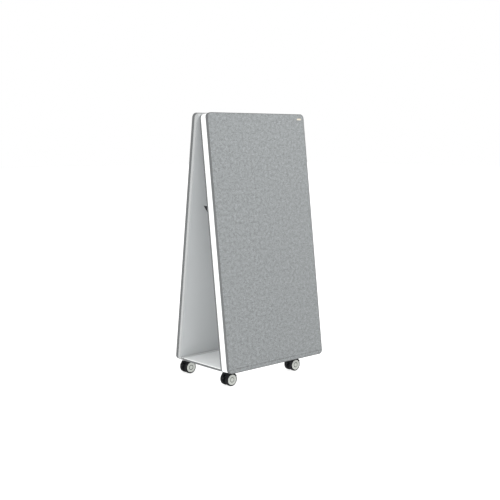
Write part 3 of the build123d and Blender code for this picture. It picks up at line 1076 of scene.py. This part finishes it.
@dataclass
class Caster:
    """Twin-wheel caster: hooded housing, brake lever, two treaded wheels with light side caps."""

    workshop: Workshop
    place: str
    shoulder: float = 2.0 * MILLIMETRE
    groove_width: float = 1.6 * MILLIMETRE
    groove_depth: float = 1.0 * MILLIMETRE
    groove_taper: float = 0.6
    hub_radius: float = 13.5 * MILLIMETRE
    hub_dome: tuple[tuple[float, float], ...] = ((0.0, 0.92), (0.45, 0.89), (0.8, 0.8), (1.0, 0.62))
    recess_width: float = 5.0 * MILLIMETRE
    recess_floor: float = 0.6 * MILLIMETRE
    shade_ring_thick: float = 0.5 * MILLIMETRE
    shade_ring_clearance: float = 0.8 * MILLIMETRE
    cap_step: float = 0.8 * MILLIMETRE
    plain_level: float = 0.62
    rim_step: float = 2.0 * MILLIMETRE
    rim_width: float = 4.0 * MILLIMETRE
    rim_levels: tuple[float, ...] = (0.55, 0.9, 1.0, 0.85, 0.5)
    housing_edge: float = 0.8 * MILLIMETRE
    wheel_edge: float = 0.6 * MILLIMETRE
    brake_edge: float = 0.6 * MILLIMETRE
    pad_reach: float = 1.0 * MILLIMETRE
    ridge_count: int = 4
    ridge_inset: float = 3.6 * MILLIMETRE
    ridge_pitch: float = 3.0 * MILLIMETRE
    ridge_radius: float = 0.7 * MILLIMETRE
    ridge_share: float = 0.7

    def node(self, piece: str) -> str:
        """Name of one of this caster's CAD nodes."""
        return f"caster_{self.place}_{piece}"

    def wheel_job(self, piece: str, slot: Slot, *nodes: str) -> Job:
        """Job of a piece that turns with the wheels."""
        return Job(self.node(piece), f"{self.place}_wheel_set", slot, nodes)

    def build(self) -> None:
        """Build every piece of the caster."""
        self.workshop.soften(self.node("housing"), self.housing_edge)
        self.workshop.soften(self.node("wheels"), self.wheel_edge)
        self.build_tyres()
        self.build_caps()
        self.build_brake()

    def build_tyres(self) -> None:
        """Treads with round shoulders and two grooves."""
        bm = bmesh.new()
        rim_low, rim_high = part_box(self.node("wheels"))
        bore = (rim_high.z - rim_low.z) / 2
        for low, high in self.workshop.solids(self.node("tyres")):
            radius = (high.z - low.z) / 2
            half = (high.y - low.y) / 2
            inner = (radius - self.shoulder, self.shoulder - half)
            outer = (radius - self.shoulder, half - self.shoulder)
            profile = [(bore, -half), *arc(inner, self.shoulder, -90.0, 0.0)]
            for middle in (-half / 3, half / 3):
                profile += self.groove(radius, middle)
            profile += [*arc(outer, self.shoulder, 0.0, 90.0), (bore, half)]
            join(bm, spin_profile(profile, (low + high) / 2, 1))
        self.workshop.deliver(bm, self.wheel_job("treads", Slot.TYRE, self.node("tyres")))

    def groove(self, radius: float, middle: float) -> Outline:
        """Outline of one groove round the tread.

        Args:
            radius: Radius of the tread.
            middle: Offset of the groove's middle.

        Returns:
            Its (radius, offset) points.
        """
        half = self.groove_width / 2
        inner_half = half * self.groove_taper
        floor = radius - self.groove_depth
        return [
            (radius, middle - half),
            (floor, middle - inner_half),
            (floor, middle + inner_half),
            (radius, middle + half),
        ]

    def build_caps(self) -> None:
        """Light caps with a domed hub, a ring sunk round it, a dish and a rolled rim; a black ring
        on the sunk ring's floor is painted shade.
        """
        caps = bmesh.new()
        shade_rings = bmesh.new()
        for outward, (low, high) in zip((-1, 1), self.workshop.solids(self.node("caps"))):
            radius = (high.z - low.z) / 2 - self.rim_step
            thick = high.y - low.y
            seat = (low + high) / 2
            seat.y = low.y if outward > 0 else high.y
            join(caps, spin_profile(self.cap_outline(radius, thick), seat, outward, 72))
            # painted shade: a black ring on the recess floor darkens the recess
            join(shade_rings, spin_profile(self.shade_ring_outline(), seat, outward, 48))
        job = self.wheel_job("side_caps", Slot.CASTER_GREY, self.node("caps"))
        self.workshop.deliver(caps, job)
        self.workshop.deliver(shade_rings, self.wheel_job("hub_rings", Slot.CASTER_BLACK))

    def cap_outline(self, radius: float, thick: float) -> Outline:
        """Outline of a cap's half section, from the axis out to the rim and back.

        Args:
            radius: Radius of the cap.
            thick: Thickness at its highest ring; the levels are shares of it.

        Returns:
            The (radius, offset outwards) points.
        """
        step = self.cap_step
        recess_end = self.hub_radius + self.recess_width
        plain = thick * self.plain_level
        dome = [(self.hub_radius * across, thick * level) for across, level in self.hub_dome]
        recess = [
            (self.hub_radius + step / 2, self.recess_floor),
            (recess_end - step / 2, self.recess_floor),
            (recess_end, thick / 2),
            (recess_end + step, plain),
            (recess_end + 2 * step, plain),
        ]
        insets = (self.rim_width, self.rim_width - step, self.rim_width / 2, step, 0.0)
        rim = [(radius - inset, thick * level) for inset, level in zip(insets, self.rim_levels)]
        return [*dome, *recess, *rim, (radius, 0.0), (0.0, 0.0)]

    def shade_ring_outline(self) -> Outline:
        """Outline of the black ring that lies on the recess floor as painted shade.

        Returns:
            The (radius, offset outwards) points.
        """
        inner = self.hub_radius + self.shade_ring_clearance
        outer = self.hub_radius + self.recess_width - self.shade_ring_clearance
        low = self.recess_floor
        high = low + self.shade_ring_thick
        return [(inner, low), (outer, low), (outer, high), (inner, high)]

    def build_brake(self) -> None:
        """Foot lever with grip ridges across its pad."""
        node = self.node("brake")
        low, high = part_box(node)
        bm = self.workshop.copy_of(node)
        round_edges(bm, self.brake_edge, 2)
        pad_end = low.x + self.pad_reach
        pad_top = max(point.z for point in self.workshop.points(node) if point.x < pad_end)
        for index in range(self.ridge_count):
            made = bmesh.ops.create_cone(
                bm,
                cap_ends=True,
                segments=10,
                radius1=self.ridge_radius,
                radius2=self.ridge_radius,
                depth=(high.y - low.y) * self.ridge_share,
            )["verts"]
            bmesh.ops.rotate(bm, verts=made, matrix=Matrix.Rotation(math.pi / 2, 3, "X"))
            x = low.x + self.ridge_inset + index * self.ridge_pitch
            bmesh.ops.translate(bm, vec=(x, (low.y + high.y) / 2, pad_top), verts=made)
        job = Job(self.node("brake_lever"), f"{self.place}_brake", Slot.CASTER_BLACK, (node,))
        self.workshop.deliver(bm, job)


@dataclass
class Screws:
    """Screw heads with a round sunk socket, under the caster plates and on the gusset brackets."""

    workshop: Workshop
    taper: float = 0.92
    socket_share: float = 0.5
    socket_depth: float = 0.6
    socket_draft: float = 0.02
    gusset_radius: float = 4.0 * MILLIMETRE
    gusset_height: float = 2.0 * MILLIMETRE
    gusset_inset: float = 16.0 * MILLIMETRE
    gusset_levels: tuple[float, float] = (0.28, 0.72)

    def build(self) -> None:
        """Build all the screw heads."""
        self.build_caster_screws()
        self.build_gusset_screws()

    def build_caster_screws(self) -> None:
        """Heads under the mounting plates, as one piece."""
        node = "caster_screws"
        bm = bmesh.new()
        for low, high in self.workshop.solids(node):
            join(bm, self.head((low + high) / 2, (high.x - low.x) / 2, high.z - low.z))
        job = Job("caster_screw_heads", self.workshop.body_of(node), Slot.STEEL, (node,))
        self.workshop.deliver(bm, job)

    def build_gusset_screws(self) -> None:
        """Two heads on the foot of each bracket, square to the front leaf."""
        node = "side_brackets"
        space = LeafSpace.of(self.workshop, Side.FRONT)
        low, high = space.box(self.workshop, node)
        foot_face = high.z - self.foot_thick(space, node)
        bm = bmesh.new()
        for x in (low.x + self.gusset_inset, high.x - self.gusset_inset):
            for level in self.gusset_levels:
                up = low.y + (high.y - low.y) * level
                centre = Vector((x, up, foot_face - self.gusset_height / 2))
                join(bm, self.head(centre, self.gusset_radius, self.gusset_height))
        job = Job("bracket_screw_heads", self.workshop.body_of(node), Slot.BLACK_METAL)
        self.workshop.deliver(space.stand_up(bm), job)

    def foot_thick(self, space: LeafSpace, node: str) -> float:
        """Thickness of a bracket's foot, from the levels that its corners lie at.

        Args:
            space: The front leaf's space.
            node: Name of the brackets' CAD node.

        Returns:
            The thickness in metres.
        """
        to_leaf = space.to_row.inverted()
        levels = sorted({round((to_leaf @ point).z, 5) for point in self.workshop.points(node)})
        return levels[-1] - levels[-2]

    def head(self, centre: Vector, radius: float, height: float) -> BMesh:
        """One head, with its socket facing down.

        Args:
            centre: Middle of the head.
            radius: Its radius at the seat.
            height: Its height.

        Returns:
            The closed mesh.
        """
        bm = bmesh.new()
        low_radius = radius * self.taper
        bmesh.ops.create_cone(
            bm, cap_ends=True, segments=24, radius1=low_radius, radius2=radius, depth=height
        )
        bottom = min(bm.faces, key=lambda face: face.calc_center_median().z)
        bmesh.ops.inset_region(bm, faces=[bottom], thickness=radius * (1.0 - self.socket_share))
        draft, depth = radius * self.socket_draft, -height * self.socket_depth
        bmesh.ops.inset_region(bm, faces=[bottom], thickness=draft, depth=depth)
        bmesh.ops.translate(bm, vec=centre, verts=bm.verts)
        return bm


# ---- Studio ----


@dataclass(frozen=True)
class SoftLight:
    """Area light by its place, aim, size and power."""

    name: str
    place: Point
    aim: Point
    size: float
    power: float

    def build(self) -> None:
        """Hang the light."""
        data = bpy.data.lights.new(self.name, "AREA")
        data.shape = "SQUARE"
        data.size = self.size
        data.energy = self.power
        lamp = bpy.data.objects.new(self.name, data)
        lamp.matrix_world = facing(Vector(self.place), Vector(self.aim))
        bpy.context.scene.collection.objects.link(lamp)


def facing(place: Vector, aim: Vector) -> Matrix:
    """Placement of a camera or light that looks at a point."""
    turn = (aim - place).to_track_quat("-Z", "Y")
    return Matrix.Translation(place) @ turn.to_matrix().to_4x4()


@dataclass
class Studio:
    """Pale floor, white surroundings, soft lights and the camera."""

    azimuth: float = math.radians(-42.04)
    reach: float = 6.2932
    eye_height: float = 1.6547
    aim_height: float = 0.8663
    lens: float = 64.17
    surroundings: float = 1.0
    floor_size: float = 80.0
    floor_drop: float = 0.2 * MILLIMETRE
    floor_grey: float = 0.5
    floor_glow: float = 0.72
    lights: tuple[SoftLight, ...] = (
        SoftLight("key_light", (-4.6, -2.0, 1.0), (0.0, 0.0, 0.4), 2.0, 70.0),
        SoftLight("low_light", (-3.0, -0.9, 0.3), (0.0, 0.2, 0.05), 0.7, 11.0),
        SoftLight("far_light", (5.2, -0.8, 1.3), (0.0, 0.1, 0.2), 2.2, 36.0),
        SoftLight("top_light", (0.4, -2.4, 3.5), (0.0, -0.1, 1.5), 1.8, 55.0),
    )

    def build(self) -> None:
        """Build the studio."""
        self.build_floor()
        self.build_surroundings()
        for light in self.lights:
            light.build()
        self.build_camera()

    def build_floor(self) -> None:
        """Plain pale floor just under the wheels."""
        bm = bmesh.new()
        bmesh.ops.create_grid(bm, x_segments=8, y_segments=8, size=self.floor_size / 2)
        bmesh.ops.translate(bm, vec=(0.0, 0.0, -self.floor_drop), verts=bm.verts)
        mesh = bpy.data.meshes.new("studio_floor")
        bm.to_mesh(mesh)
        bm.free()
        grey = (self.floor_grey, self.floor_grey, self.floor_grey, 1.0)
        glow = {"Emission Color": (1.0, 1.0, 1.0, 1.0), "Emission Strength": self.floor_glow}
        graph = ShaderGraph("studio_floor", {"Base Color": grey, "Roughness": 0.9, **glow})
        mesh.materials.append(graph.material)
        floor = bpy.data.objects.new("studio_floor", mesh)
        bpy.context.scene.collection.objects.link(floor)

    def build_surroundings(self) -> None:
        """Even white light from all round."""
        world = bpy.data.worlds.new("white_room")
        world.use_nodes = True
        background = world.node_tree.nodes["Background"]
        background.inputs["Color"].default_value = (1.0, 1.0, 1.0, 1.0)
        background.inputs["Strength"].default_value = self.surroundings
        bpy.context.scene.world = world
        bpy.context.scene.view_settings.view_transform = "Standard"

    def build_camera(self) -> None:
        """Camera at the viewing angle."""
        data = bpy.data.cameras.new("camera")
        data.lens = self.lens
        camera = bpy.data.objects.new("camera", data)
        x = self.reach * math.sin(self.azimuth)
        y = -self.reach * math.cos(self.azimuth)
        aim = Vector((0.0, 0.0, self.aim_height))
        camera.matrix_world = facing(Vector((x, y, self.eye_height)), aim)
        bpy.context.scene.collection.objects.link(camera)
        bpy.context.scene.camera = camera


def main() -> None:
    """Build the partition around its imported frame."""
    logging.basicConfig(level=logging.INFO, format="%(message)s")
    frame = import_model()
    workshop = Workshop(frame)
    Studio().build()
    for side in Side:
        LiftOffBoard(workshop, side).build()
    BoardTag(workshop).build()
    LeafFrames(workshop).build()
    for node, edge in BASE_EDGES.items():
        workshop.soften(node, edge)
    for place in ("front_left", "front_right", "rear_left", "rear_right"):
        Caster(workshop, place).build()
    Screws(workshop).build()
    workshop.dress_rest()
    LOG.info("%d pieces delivered", workshop.delivered)


if __name__ == "__main__":
    main()
